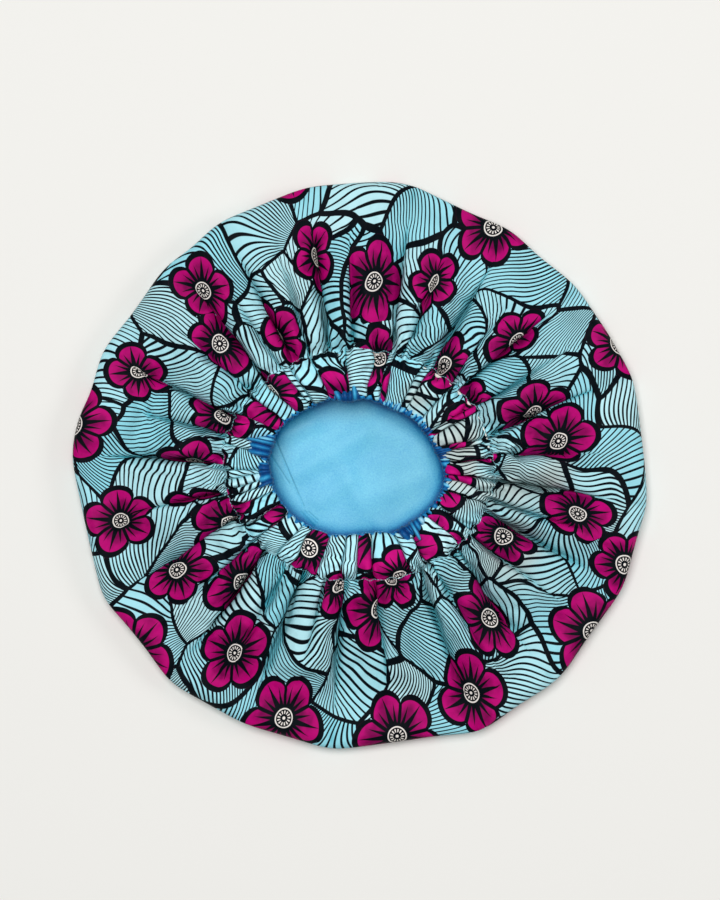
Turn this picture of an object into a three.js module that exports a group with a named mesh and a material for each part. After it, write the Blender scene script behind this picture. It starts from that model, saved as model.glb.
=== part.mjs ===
// Satin-lined hair bonnet, relaxed and lying flat on its crown with the opening up.
// A round printed cotton cover and a round satin lining are sewn together at the rim. A row of
// stitching a little way in makes a casing, and a joined elastic loop in it gathers both cloths.
// Millimetres, +Z up. The origin is under the middle of the bonnet, on the surface that it lies on.
import * as THREE from "three";

// Driving dimensions
const flatDiameter = 356; // across the outer fold: a 610 mm circle of cloth, gathered and laid flat
const openingWidth = 113; // relaxed opening, left to right
const openingDepth = 89; // relaxed opening, front to back
const elasticWidth = 20;
const elasticThickness = 1.2;
const elasticLap = 18; // how far the two ends of the elastic overlap where they are sewn
const casingEase = 3.5; // room beside the elastic, to the stitching and to the rim
const coverThickness = 0.6;
const liningThickness = 0.4;
const layerGap = 0.3; // clearance between neighbouring cloths, elastic and threads
const threadDiameter = 0.6;
const foldHeight = 18; // height of the soft roll where the crown turns over into the front
const stitchHeight = 30; // height of the casing stitching above the crown
const rimDrop = 3; // how far the rim lies below the casing stitching
const domeRise = 4; // how far the front swells between the outer fold and the stitching
const outerFoldDepth = 3; // ridge height of the main folds in the outer part of the front
const innerFoldDepth = 6; // and close to the casing, where the cloth is gathered more
const coverGather = 5; // height of the puffed gathers over the elastic
const liningGather = 2; // and of the satin's gathers under it
const satinPeek = 2; // how far the satin edge shows past the printed edge at the rim
const seamInset = 1.2; // from the rim to the seam that joins the two cloths
const turningGap = 50; // length of the gap in the rim seam that the elastic went in through
const gapOverlap = 5; // how far the row that shuts the gap runs on past each end of it
const joinStrokes = 5; // strokes of the zigzag that sews the ends of the elastic together
const joinWidth = 4; // how far the zigzag swings
const lapAngle0 = 90; // degrees: the join of the elastic, at the back
const turningAngle = 250; // degrees: the middle of the closed gap
const stepsPerFold = 4; // directions from one corner of the outline to the next
const threadSides = 5;

// The soft outline runs straight from corner to corner: degrees, and millimetres out from flatDiameter / 2.
const outlineCorners = [
  [-8, 0.6],
  [18, -2.5],
  [39, -4.6],
  [57, -4.6],
  [79, -1.2],
  [102, -0.6],
  [120, -4],
  [134, -5.3],
  [156, -3.4],
  [178, 0],
  [208, -0.9],
  [228, -0.3],
  [246, -1.5],
  [264, -0.9],
  [294, 2.5],
  [312, 1.2],
  [335, 1.9],
];

// Sizes that follow from them
const casingWidth = elasticWidth + 2 * casingEase;
const rimHeight = stitchHeight - rimDrop;
const foldRadius = foldHeight / 2;
const threadRadius = threadDiameter / 2;
const layerPitch = coverThickness + layerGap;
// The casing holds both ends of the elastic and the zigzag over them, each with its clearance.
const casingHeight = 2 * elasticThickness + threadDiameter + 4 * layerGap;
const mix = THREE.MathUtils.lerp;
const radians = THREE.MathUtils.degToRad;

// Directions round the bonnet. A main fold has its valley at a corner and its ridge half way to the next.
const directions = outlineCorners.flatMap(([angle, outset], corner) => {
  const [nextAngle, nextOutset] = outlineCorners[(corner + 1) % outlineCorners.length];
  const turn = nextAngle > angle ? 0 : 360;
  const from = outlinePoint(angle, outset);
  const to = outlinePoint(nextAngle + turn, nextOutset);
  return Array.from({ length: stepsPerFold }, (_, step) => {
    const share = step / stepsPerFold;
    return {
      angle: radians(mix(angle, nextAngle + turn, share)),
      outline: from.clone().lerp(to, share),
      foldWave: -Math.cos(2 * Math.PI * share),
      gather: step % 2, // every second direction is the top of a gather
    };
  });
});

function outlinePoint(degrees, outset) {
  const reach = flatDiameter / 2 + outset;
  return new THREE.Vector2(Math.cos(radians(degrees)), Math.sin(radians(degrees))).multiplyScalar(reach);
}

// A point of the ellipse that lies a given distance outside the opening, seen from above.
function besideRim(distance, angle) {
  return new THREE.Vector2(
    (openingWidth / 2 + distance) * Math.cos(angle),
    (openingDepth / 2 + distance) * Math.sin(angle),
  );
}

const at = (plan, height) => new THREE.Vector3(plan.x, plan.y, height);

// Rings of the cloth, from the crown to the rim. Depth is how far a surface lies inside the cover's outer face.

// The outer fold is a half-round roll: -90 degrees is the crown's edge and 90 degrees its top.
function foldRing(rollDegrees, depth) {
  const roll = radians(rollDegrees);
  return directions.map(({ outline }) => {
    const inset = foldRadius - (foldRadius - depth) * Math.cos(roll);
    const plan = outline.clone().setLength(outline.length() - inset);
    return at(plan, foldRadius + (foldRadius - depth) * Math.sin(roll));
  });
}

// The front runs from the outer fold, share 0, to the casing stitching, share 1, over its main folds.
function frontRing(share, foldDepth, depth) {
  const rise = mix(foldHeight, stitchHeight, share) + domeRise * Math.sin(Math.PI * share);
  return directions.map(({ angle, outline, foldWave }) => {
    const plan = outline.clone().lerp(besideRim(casingWidth, angle), share);
    return at(plan, rise + foldDepth * foldWave - depth);
  });
}

function stitchRing(depth) {
  return directions.map(({ angle }) => at(besideRim(casingWidth, angle), stitchHeight - depth));
}

// Lowest inner height of the casing, a given distance outside the rim.
function casingFloor(distance) {
  const seamHeight = mix(rimHeight, stitchHeight, distance / casingWidth) - layerPitch;
  return seamHeight - casingHeight / 2;
}

function casingCoverRing(distance, depth) {
  const height = casingFloor(distance) + casingHeight + coverThickness - depth;
  return directions.map(({ angle, gather }) => at(besideRim(distance, angle), height + coverGather * gather));
}

function casingLiningRing(distance, depth) {
  const height = casingFloor(distance) - depth;
  return directions.map(({ angle, gather }) => at(besideRim(distance, angle), height - liningGather * gather));
}

function rimRing(distance, height) {
  return directions.map(({ angle }) => at(besideRim(distance, angle), height));
}

// The rings that the cover and the lining share, at one depth.
function sharedRings(depth) {
  return [
    foldRing(-90, depth),
    foldRing(-15, depth),
    foldRing(60, depth),
    frontRing(0.4, outerFoldDepth, depth),
    frontRing(0.75, innerFoldDepth, depth),
    stitchRing(depth),
  ];
}

function coverRings(depth) {
  return [
    ...sharedRings(depth),
    casingCoverRing(casingWidth - casingEase, depth),
    casingCoverRing(casingEase, depth),
    rimRing(0, rimHeight - depth),
  ];
}

function liningRings(depth) {
  return [
    ...sharedRings(layerPitch + depth),
    casingLiningRing(casingWidth - casingEase, depth),
    casingLiningRing(casingEase, depth),
    rimRing(-satinPeek, rimHeight - coverThickness - depth),
  ];
}

function bufferGeometry(points, triangles) {
  const geometry = new THREE.BufferGeometry().setFromPoints(points);
  geometry.setIndex(triangles);
  geometry.computeVertexNormals();
  return geometry;
}

// A cloth bag: an outer and an inner face, each a disc of rings round its middle, joined along the rim.
function clothBag(outerRings, innerRings, outerMiddle, innerMiddle) {
  const count = directions.length;
  const points = [];
  const triangles = [];
  const faceStart = [];
  for (const [middle, rings] of [[outerMiddle, outerRings], [innerMiddle, innerRings]]) {
    const start = points.length;
    const inner = rings === innerRings;
    const face = (a, b, c) => triangles.push(a, inner ? c : b, inner ? b : c);
    faceStart.push(start);
    points.push(middle, ...rings.flat());
    for (let i = 0; i < count; i++) {
      const next = (i + 1) % count;
      face(start, start + 1 + next, start + 1 + i);
      for (let ring = 0; ring < rings.length - 1; ring++) {
        const low = start + 1 + ring * count;
        const high = low + count;
        face(low + i, low + next, high + next);
        face(low + i, high + next, high + i);
      }
    }
  }
  const [outerRim, innerRim] = faceStart.map((start) => start + 1 + (outerRings.length - 1) * count);
  for (let i = 0; i < count; i++) {
    const next = (i + 1) % count;
    triangles.push(outerRim + i, outerRim + next, innerRim + next);
    triangles.push(outerRim + i, innerRim + next, innerRim + i);
  }
  return bufferGeometry(points, triangles);
}

function coverGeometry() {
  const middle = new THREE.Vector3(0, 0, 0);
  const innerMiddle = new THREE.Vector3(0, 0, coverThickness);
  return clothBag(coverRings(0), coverRings(coverThickness), middle, innerMiddle);
}

function liningGeometry() {
  const middle = new THREE.Vector3(0, 0, layerPitch);
  const innerMiddle = new THREE.Vector3(0, 0, layerPitch + liningThickness);
  return clothBag(liningRings(0), liningRings(liningThickness), middle, innerMiddle);
}

// The elastic lies flat on the casing's floor, and its far end climbs over its start and overlaps it.
const elasticInner = casingEase;
const elasticOuter = casingEase + elasticWidth;
const elasticRadius = (openingDepth + casingWidth) / 2; // at the join, which lies across the shorter way
const lapAngle = elasticLap / elasticRadius;

function elasticHeight(distance) {
  return casingFloor(distance) + layerGap;
}

function elasticGeometry() {
  const start = radians(lapAngle0);
  const loopSteps = directions.length;
  const stops = Array.from({ length: loopSteps + 1 }, (_, step) => [(2 * Math.PI * step) / loopSteps, 0]);
  const lift = elasticThickness + layerGap;
  stops[loopSteps][1] = lift;
  stops.push([2 * Math.PI + lapAngle / 2, lift], [2 * Math.PI + lapAngle, lift]);
  const points = stops.flatMap(([turn, raised]) =>
    [
      [elasticInner, 0],
      [elasticOuter, 0],
      [elasticOuter, elasticThickness],
      [elasticInner, elasticThickness],
    ].map(([distance, up]) => at(besideRim(distance, start + turn), elasticHeight(distance) + raised + up)),
  );
  const triangles = [0, 1, 2, 0, 2, 3];
  for (let low = 0; low < points.length - 4; low += 4) {
    for (let side = 0; side < 4; side++) {
      const next = (side + 1) % 4;
      triangles.push(low + side, low + 4 + next, low + next);
      triangles.push(low + side, low + 4 + side, low + 4 + next);
    }
  }
  const end = points.length - 4;
  triangles.push(end, end + 2, end + 1, end, end + 3, end + 2);
  return bufferGeometry(points, triangles);
}

// Threads

const threadSection = new THREE.Shape(
  Array.from({ length: threadSides }, (_, side) => {
    const angle = (2 * Math.PI * side) / threadSides;
    return new THREE.Vector2(Math.cos(angle), Math.sin(angle)).multiplyScalar(threadRadius);
  }),
);

function threadLength(points) {
  const path = new THREE.CatmullRomCurve3(points);
  return new THREE.ExtrudeGeometry(threadSection, { steps: points.length - 1, extrudePath: path, bevelEnabled: false });
}

function threadRing(distance, height) {
  const points = directions.map(({ angle }) => at(besideRim(distance, angle), height));
  return new THREE.TubeGeometry(new THREE.CatmullRomCurve3(points, true), points.length, threadRadius, threadSides, true);
}

// How far a thread's middle stands from the bottom of a groove whose walls rise by slope, to clear them.
function grooveLift(slope) {
  return (threadRadius + layerGap) * Math.hypot(1, slope);
}

const casingEdge = casingWidth - casingEase;
const coverWallSlope = (casingFloor(casingEdge) + casingHeight + coverThickness + coverGather - stitchHeight) / casingEase;
const liningBase = stitchHeight - layerPitch - liningThickness;
const liningWallSlope = (liningBase + liningThickness + liningGather - casingFloor(casingEdge)) / casingEase;

function needleThreadGeometry() {
  return threadRing(casingWidth, stitchHeight + grooveLift(coverWallSlope));
}

function bobbinThreadGeometry() {
  return threadRing(casingWidth, liningBase - grooveLift(liningWallSlope));
}

// Points along the rim, between two angles.
function rimArc(distance, height, fromAngle, toAngle) {
  const steps = Math.ceil((directions.length * (toAngle - fromAngle)) / (2 * Math.PI));
  return Array.from({ length: steps + 1 }, (_, step) =>
    at(besideRim(distance, mix(fromAngle, toAngle, step / steps)), height),
  );
}

const rimReach = (openingWidth + openingDepth) / 4; // mean radius of the rim
const gapMiddle = radians(turningAngle);
const gapHalfAngle = turningGap / 2 / rimReach;

// The satin climbs from the casing's floor to its edge, and the seam lies on it just inside the rim.
function rimSeamGeometry() {
  const edgeHeight = rimHeight - coverThickness;
  const floorHeight = casingFloor(casingEase);
  const slope = (edgeHeight - floorHeight) / (casingEase + satinPeek);
  const satinHeight = edgeHeight - slope * (satinPeek + seamInset);
  const start = gapMiddle + gapHalfAngle;
  const end = gapMiddle - gapHalfAngle + 2 * Math.PI;
  return threadLength(rimArc(seamInset, satinHeight + grooveLift(slope), start, end));
}

// The gap in the rim seam is sewn shut along the printed edge, on top of the cover.
function turningGapGeometry() {
  const slope = (casingFloor(casingEase) + casingHeight + coverThickness + coverGather - rimHeight) / casingEase;
  const halfAngle = gapHalfAngle + gapOverlap / rimReach;
  return threadLength(rimArc(0, rimHeight + grooveLift(slope), gapMiddle - halfAngle, gapMiddle + halfAngle));
}

// A zigzag runs across the overlapped ends of the elastic and swings from side to side.
function elasticJoinGeometry() {
  const margin = 3 * threadDiameter;
  const top = 2 * elasticThickness + layerGap + layerGap + threadRadius;
  const steps = 6 * joinStrokes;
  return threadLength(
    Array.from({ length: steps + 1 }, (_, step) => {
      const share = step / steps;
      const distance = mix(elasticInner + margin, elasticOuter - margin, share);
      const swing = (joinWidth / 2) * Math.cos(Math.PI * joinStrokes * share);
      const turn = lapAngle / 2 + swing / (openingDepth / 2 + distance);
      return at(besideRim(distance, radians(lapAngle0) + turn), elasticHeight(distance) + top);
    }),
  );
}

// Materials
const printedCotton = new THREE.MeshStandardMaterial({ color: 0x77c4d6, roughness: 0.75, metalness: 0 });
const blueSatin = new THREE.MeshStandardMaterial({ color: 0x5fb4e5, roughness: 0.35, metalness: 0 });
const whiteElastic = new THREE.MeshStandardMaterial({ color: 0xe8e6e0, roughness: 0.9, metalness: 0 });
const aquaThread = new THREE.MeshStandardMaterial({ color: 0x7fb9c6, roughness: 0.7, metalness: 0 });
const blueThread = new THREE.MeshStandardMaterial({ color: 0x4f9fd0, roughness: 0.7, metalness: 0 });

const bonnet = new THREE.Group();

function piece(name, geometry, material) {
  const mesh = new THREE.Mesh(geometry, material);
  mesh.name = name;
  bonnet.add(mesh);
}

piece("printed_cover", coverGeometry(), printedCotton);
piece("satin_lining", liningGeometry(), blueSatin);
piece("elastic_band", elasticGeometry(), whiteElastic);
piece("elastic_join_stitching", elasticJoinGeometry(), aquaThread);
piece("casing_needle_thread", needleThreadGeometry(), aquaThread);
piece("casing_bobbin_thread", bobbinThreadGeometry(), blueThread);
piece("rim_seam_stitching", rimSeamGeometry(), blueThread);
piece("rim_gap_stitching", turningGapGeometry(), blueThread);

// The outline is uneven, so the middle of its box is brought over the origin.
const middle = new THREE.Box3().setFromObject(bonnet).getCenter(new THREE.Vector3());
bonnet.children.forEach((mesh) => mesh.position.set(-middle.x, -middle.y, 0));

export default bonnet;
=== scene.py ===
# Satin-lined hair bonnet of printed cotton, relaxed and lying flat on its crown, opening up.
import math
import time
from functools import partialmethod

import bmesh
import bpy
import numpy as np
from mathutils import Matrix, Vector


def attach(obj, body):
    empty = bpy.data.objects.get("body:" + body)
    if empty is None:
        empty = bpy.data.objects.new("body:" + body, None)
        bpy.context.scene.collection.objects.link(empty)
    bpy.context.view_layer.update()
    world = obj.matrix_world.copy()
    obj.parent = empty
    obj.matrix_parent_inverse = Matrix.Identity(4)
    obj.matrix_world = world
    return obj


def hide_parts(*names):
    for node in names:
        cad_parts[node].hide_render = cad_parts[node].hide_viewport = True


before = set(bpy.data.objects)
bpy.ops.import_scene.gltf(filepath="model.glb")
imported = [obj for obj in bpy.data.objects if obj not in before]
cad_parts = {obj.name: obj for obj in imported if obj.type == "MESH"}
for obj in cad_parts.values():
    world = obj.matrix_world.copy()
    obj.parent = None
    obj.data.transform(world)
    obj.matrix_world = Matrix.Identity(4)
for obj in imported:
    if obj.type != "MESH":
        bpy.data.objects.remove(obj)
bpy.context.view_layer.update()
scene = bpy.context.scene
pi = math.pi
turn = 2 * pi
norm = np.linalg.norm
mm = 0.001
started = time.time()

# The laid-out bonnet, in metres and degrees, as the solids have it
bonnet = {
    "flatWidth": 0.356,
    "openingWidth": 0.113, "openingDepth": 0.089,
    "casingWidth": 0.027,
    "bedHeight": 0.024,  # of the elastic, at the rim
    "bedRise": 0.003,  # from there to the stitching
    "rollRadius": 0.009,  # of the soft outer fold
    "stitchHeight": 0.030,
    "stitchFollows": 0.35,  # share of the rim's wander
    "rimHeight": 0.027,
    "domeRise": 0.004,
    "columns": 544,  # lines of the mesh from the middle of the crown to the rim
    "softColumns": 6,  # over which the outline is rounded
    # corners of the soft outline: degrees, and millimetres out from half the flat width
    "corners": {
        -8: 0.6, 18: -2.5, 39: -4.6, 57: -4.6, 79: -1.2, 102: -0.6, 120: -4, 134: -5.3, 156: -3.4, 178: 0,
        208: -0.9, 228: -0.3, 246: -1.5, 264: -0.9, 294: 2.5, 312: 1.2, 335: 1.9,
    },
    # how the soft edge swells and dips along that outline: degrees and millimetres outwards
    "edgeSway": {
        0: 1.5, 12: 1.7, 22: 0.8, 28: 1.2, 34: -0.2, 42: -0.9, 50: -2.6, 58: -1.5, 66: -2.8, 76: -2.4,
        84: 0.8, 90: 0.2, 97: -1.5, 103: -3.2, 112: -2.2, 121: -0.9, 129: -2.9, 136: -0.8, 147: -2,
        156: -0.5, 165: -0.8, 171: 2.4, 178: 1, 186: 1.7, 196: 2.4, 207: 2.6, 214: 0.3, 222: -0.2, 230: 1.5,
        238: 0.4, 248: -0.7, 256: -0.6, 266: 0.5, 276: 0.2, 286: -0.6, 295: 1, 303: 0.1, 309: 0.9, 315: 2,
        322: 0.5, 330: 0, 340: -0.6, 346: -0.8, 353: 0.6,
    },
    # how far the relaxed rim wanders from its oval: degrees and millimetres outwards
    "rimWander": {
        16: -8, 34: -8, 47: -6.5, 67: -6.5, 77: -4.5, 89: -3, 97: -4, 103: -3, 112: -0.8, 124: -1.5, 138: 0,
        148: 0.8, 164: 1.8, 175: 2, 189: 0.8, 204: 0.8, 220: 1.8, 233: 2, 253: 1.8, 269: -1, 281: -1.4,
        291: 1.6, 301: 1, 315: -1, 332: -1, 346: -2.2, 359: -5.2,
    },
}

columns = bonnet["columns"]
casingWidth, rimHeight = bonnet["casingWidth"], bonnet["rimHeight"]
halfOpening = np.array([bonnet["openingWidth"], bonnet["openingDepth"]]) / 2
cutAngle = np.arange(columns) * turn / columns
unitRing = np.stack([np.cos(cutAngle), np.sin(cutAngle)], 1)


def mix(first, second, share):
    return first + (second - first) * share


def ramp(low, high, value):
    share = np.clip((np.asarray(value, float) - low) / (high - low), 0, 1)
    return share * share * (3 - 2 * share)


def hump(share):
    return math.sin(pi * share)


def bell(value):
    return np.exp(-(value ** 2))


def angleFrom(start, angle):
    # the signed angle from one direction to another
    return (angle - start + pi) % turn - pi


def blur(values, reach):
    weights = np.hanning(2 * reach + 3)[1:-1]
    wrapped = np.concatenate([values[-reach:], values, values[:reach]])
    return np.convolve(wrapped, weights / weights.sum(), "valid")


def reachOf(steps):
    return np.append(0, np.cumsum(steps))


def stepsBetween(points):
    return norm(np.diff(points, axis=0), axis=-1)


def edgesOf(widths):
    # the columns at which stretches of these widths begin and end
    return np.rint(reachOf(widths) * columns / widths.sum()).astype(int)


def unevenness(seed, slowest, fastest):
    # a smooth chance value from -1 to 1 round the ring
    chance = np.random.RandomState(seed)
    waves = [
        np.cos(n * cutAngle + chance.uniform(0, turn)) * chance.uniform(0.5, 1)
        for n in range(slowest, fastest + 1)
    ]
    total = np.sum(waves, 0)
    return total / np.abs(total).max()


def besideRim(distance, angle):
    halfWidth, halfDepth = halfOpening
    return np.stack([(halfWidth + distance) * np.cos(angle), (halfDepth + distance) * np.sin(angle)], -1)


def around(table, angle):
    # a table's millimetres at an angle, in metres
    return mm * np.interp(np.degrees(angle) % 360, [*table], [*table.values()], period=360)


def rimShift(angle):
    return around(bonnet["rimWander"], angle)


def casingFloor(distance):
    return bonnet["bedHeight"] + bonnet["bedRise"] * np.asarray(distance) / casingWidth


def ring(xy, height):
    return np.concatenate([xy, np.broadcast_to(np.asarray(height, float), len(xy))[:, None]], 1)


cornerAt = np.rint([degrees * columns / 360 for degrees in bonnet["corners"]]).astype(int)
cornerAt = np.append(cornerAt, cornerAt[0] + columns)
cornerOut = np.array([*bonnet["corners"].values()]) * mm
fromCorner = (np.arange(columns) - cornerAt[0]) % columns + cornerAt[0]


def placeBetween(edges):
    # which stretch between two edges each column is in, and how far along it
    stretch = np.searchsorted(edges, fromCorner, "right") - 1
    return stretch, (fromCorner - edges[stretch]) / (edges[stretch + 1] - edges[stretch])


side, sideShare = placeBetween(cornerAt)


def layOutline():
    # straight from corner to corner, then softened
    reach = bonnet["flatWidth"] / 2 + np.append(cornerOut, cornerOut[0])
    angles, at = cornerAt * turn / columns, fromCorner * turn / columns
    a, b, ra, rb = angles[side], angles[side + 1], reach[side], reach[side + 1]
    straight = ra * rb * np.sin(b - a) / (ra * np.sin(at - a) + rb * np.sin(b - at))
    return blur(straight, bonnet["softColumns"])


outlineRadius = layOutline()
outlineXY = unitRing * outlineRadius[:, None]
middle = (outlineXY.min(0) + outlineXY.max(0)) / 2
outlineRadius = blur(outlineRadius + around(bonnet["edgeSway"], cutAngle), bonnet["softColumns"])

# Each side of the outline carries one broad fold, which splits in two on its way to the stitching
gathering = {
    "seed": 7,
    "split": (0.40, 0.60),  # where along the side
    "wander": 0.30,  # of a gather's width at the stitching
    "lift": (0.65, 1.35),
    "broadFold": 0.0110,
    "fineFold": 0.0125,
}

# Between the stitching and the rim the cloth stands in puffs of its own
puffing = {
    "seed": 12, "count": 40,
    "firstEdge": 5,  # columns by which the puffs start past the first corner
    "width": (0.38, 1.8),
    "lift": (0.6, 1.25),
    "height": 0.0070,
    "slant": 0.055,  # radians from the stitching to the rim
    "pucker": 0.0028, "pinch": 0.0028, "shoulder": 0.0026,  # how high the front swells beside the stitching
}

# Stray folds of the front: angles in radians, start and length in shares of the way in, depth in metres
straying = {
    "seed": 8, "count": 170,
    "spans": {
        "at": (0, turn), "slant": (-0.30, 0.30), "width": (0.014, 0.034), "from": (0.05, 0.80),
        "length": (0.18, 0.50), "depth": (-0.0026, 0.00208),
    },
}

# Short sharp wrinkles of the gathered cloth, on both sides of the stitching, in metres
crumpling = {
    "seed": 15, "count": 640,
    "spans": {
        "at": (0, turn), "bearing": (0, pi), "long": (0.003, 0.009), "wide": (0.0013, 0.0026),
        "depth": (-0.0018, 0.00144),
    },
}


def planGathers():
    chance = np.random.RandomState(gathering["seed"])
    splits = chance.uniform(*gathering["split"], len(cornerAt) - 1)
    splitColumn = np.rint(cornerAt[:-1] + splits * np.diff(cornerAt)).astype(int)
    edges = np.sort(np.concatenate([cornerAt, splitColumn]))
    count = len(edges) - 1
    wander = chance.uniform(-1, 1, count) * gathering["wander"] * turn / count
    laid = edges[:-1] * turn / columns + wander
    return edges, np.append(laid, laid[0] + turn), chance.uniform(*gathering["lift"], count)


def foldRidge(share, roundness, sunk):
    return np.abs(np.sin(pi * share)) ** roundness - sunk


gatherEdge, gatherLaid, gatherLift = planGathers()
gather, gatherShare = placeBetween(gatherEdge)
gatherHeight = blur(gatherLift[gather], 5)
broadRidge = foldRidge(sideShare, 0.75, 0.70)
fineRidge = foldRidge(gatherShare, 0.55, 0.75)


def nearCut(angle):
    # the same direction, in the turn that the cut column is in
    return angle + turn * np.rint((cutAngle - angle) / turn)


def gatherAngle(bulge):
    # a bulge crowds the columns into the creases, with rounder folds between
    share = gatherShare - bulge * np.sin(turn * gatherShare) / turn
    return nearCut(mix(gatherLaid[gather], gatherLaid[gather + 1], share))


def planPuffs():
    chance = np.random.RandomState(puffing["seed"])
    widths = chance.uniform(*puffing["width"], puffing["count"])
    edges = cornerAt[0] + puffing["firstEdge"] + edgesOf(widths)
    edges[0], edges[-1] = cornerAt[0], cornerAt[0] + columns
    laid = np.unwrap(gatherAngle(0)[edges % columns])
    slant = chance.uniform(-1, 1, len(laid)) * puffing["slant"]
    slant[-1] = slant[0]
    return edges, laid, slant, chance.uniform(*puffing["lift"], puffing["count"])


puffEdge, puffLaid, puffSlant, puffLift = planPuffs()
puff, puffShare = placeBetween(puffEdge)
puffHeight = blur(puffLift[puff], 4)
puffRidge = foldRidge(puffShare, 0.5, 0)


def puffAngle(bulge, share):
    edge = puffLaid + puffSlant * (share - 0.5)
    place = puffShare - bulge * np.sin(turn * puffShare) / turn
    return nearCut(mix(edge[puff], edge[puff + 1], place))


def drawFolds(chance, plan):
    return {key: chance.uniform(*span, plan["count"])[:, None] for key, span in plan["spans"].items()}


def planCrumples():
    # most lie near the stitching, and those farther out are larger
    chance = np.random.RandomState(crumpling["seed"])
    start = 0.026 - 0.095 * chance.beta(1.2, 1.8, crumpling["count"])[:, None]
    folds = drawFolds(chance, crumpling)
    outside = np.maximum(-start, 0)
    folds["from"] = start  # past the stitching
    folds["long"] *= 1 + 12 * outside
    folds["wide"] *= 1 + 12 * outside
    folds["depth"] *= 1 + 0.6 * ramp(-0.012, 0, start)
    folds["round"] = 0.066 + outside  # from the middle of the opening
    return folds


strays = drawFolds(np.random.RandomState(straying["seed"]), straying)
crumples = planCrumples()


def strayHeight(share):
    along = np.clip((share - strays["from"]) / strays["length"], 0, 1)
    at = strays["at"] + strays["slant"] * (share - strays["from"])
    depth = strays["depth"] * np.sin(pi * along) ** 2
    return (depth * bell(angleFrom(at, cutAngle) / strays["width"])).sum(0)


def crumpleHeight(reach):
    away = angleFrom(crumples["at"], cutAngle) * crumples["round"]
    over = reach - crumples["from"]
    cosine, sine = np.cos(crumples["bearing"]), np.sin(crumples["bearing"])
    along = (away * cosine + over * sine) / crumples["long"]
    across = (over * cosine - away * sine) / crumples["wide"]
    return (crumples["depth"] * np.exp(-along ** 2 - across ** 2)).sum(0)


# Where the satin rolls out over the rim: middle and half width in degrees, and how much
rimTucks = [
    (167, 12, 1.0), (187, 10, 0.95), (98, 11, 0.75), (42, 17, 0.4), (9, 16, 0.55), (303, 12, 0.75),
    (228, 8, 0.2), (140, 8, 0.2), (20, 95, 0.22),
]
rimAngle = puffAngle(0, 1)
tuck = np.zeros(columns)
for tuckAt, tuckHalf, tuckAmount in rimTucks:
    away = np.degrees(np.abs(angleFrom(math.radians(tuckAt), rimAngle)))
    tuck = np.maximum(tuck, tuckAmount * ramp(tuckHalf, 0.45 * tuckHalf, away))
print(f"plan: {len(gatherLift)} gathers in {len(cornerAt) - 1} broad folds, {len(puffLift)} puffs")

# Chance swings of the folds, the puckers along the stitching, and the metres by which it strays
slow, quick, sway = unevenness(3, 3, 9), unevenness(4, 6, 15), unevenness(5, 10, 30)
puckers = np.cos(63 * cutAngle + 3 * quick) * (0.6 + 0.4 * slow) + 0.45 * np.cos(101 * cutAngle - 4 * slow)
stitchStray = 0.0009 * puckers + 0.0012 * sway

# Rings of the cloth, and how it is let settle
cloth = {
    "crownReach": [0, 0.03, 0.06, 0.09, 0.115, 0.135, 0.148, 0.155],
    "rollRows": 11,
    "rollTo": 65,  # degrees round the soft outer fold
    "frontRows": 34, "casingRows": 20,
    "wall": 0.0005,
    "restGain": 1.25,  # how much fuller than laid the folds want to be
    "frames": 24,
    "weave": {
        "quality": 6, "mass": 0.02, "tension_stiffness": 14, "compression_stiffness": 14,
        "shear_stiffness": 4, "bending_stiffness": 0.4, "tension_damping": 8, "compression_damping": 8,
        "shear_damping": 6, "bending_damping": 0.5, "air_damping": 2, "use_pressure": True,
        "uniform_pressure_force": 0.05,
    },
}


def rollRing(degrees, gain):
    roll, angle = bonnet["rollRadius"], math.radians(degrees)
    out = outlineRadius - roll + roll * math.cos(angle)
    dip = 0.30 * gathering["broadFold"] * gain * ramp(-20, cloth["rollTo"], degrees) * broadRidge
    return "edge" if degrees < 12 else "roll", unitRing * out[:, None], roll + roll * math.sin(angle) + dip


def frontRing(share, start, gain):
    # share runs from 0 at the outer fold to 1 at the stitching
    stitched = ramp(0.90, 1, share)
    bulge = 0.70 * ramp(0.3, 0.8, share) * (1 - 0.6 * stitched)
    swing = 0.020 * slow + 0.022 * quick * (2 * share - 1)
    angle = mix(cutAngle, gatherAngle(bulge), share ** 1.3) + hump(share) * swing
    follow = bonnet["stitchFollows"] * rimShift(angle)
    goal = besideRim(casingWidth + follow + stitchStray * stitched, angle)
    rollTop = bonnet["rollRadius"] * (1 + math.sin(math.radians(cloth["rollTo"])))
    height = mix(rollTop, bonnet["stitchHeight"], share) + bonnet["domeRise"] * hump(share)
    broad = gathering["broadFold"] * (0.30 + 0.7 * ramp(0, 0.5, share)) * (1 - 0.8 * ramp(0.5, 1, share))
    deep = gathering["fineFold"] * ramp(0.20, 0.75, share) * (1 - 0.9 * stitched)
    fold = broad * broadRidge + deep * gatherHeight * fineRidge + strayHeight(share)
    fold = fold + puffing["pucker"] * ramp(0.80, 0.97, share) * puckers
    fold = fold + ramp(0.1, 0.4, share) * crumpleHeight(-0.085 * (1 - share))
    shoulder = puffing["shoulder"] * bell((share - 0.89) / 0.07)
    pinch = puffing["pinch"] * ramp(0.92, 1, share) - shoulder
    return "front" if share < 1 else "stitching", mix(start, goal, share), height - pinch + gain * fold


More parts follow.
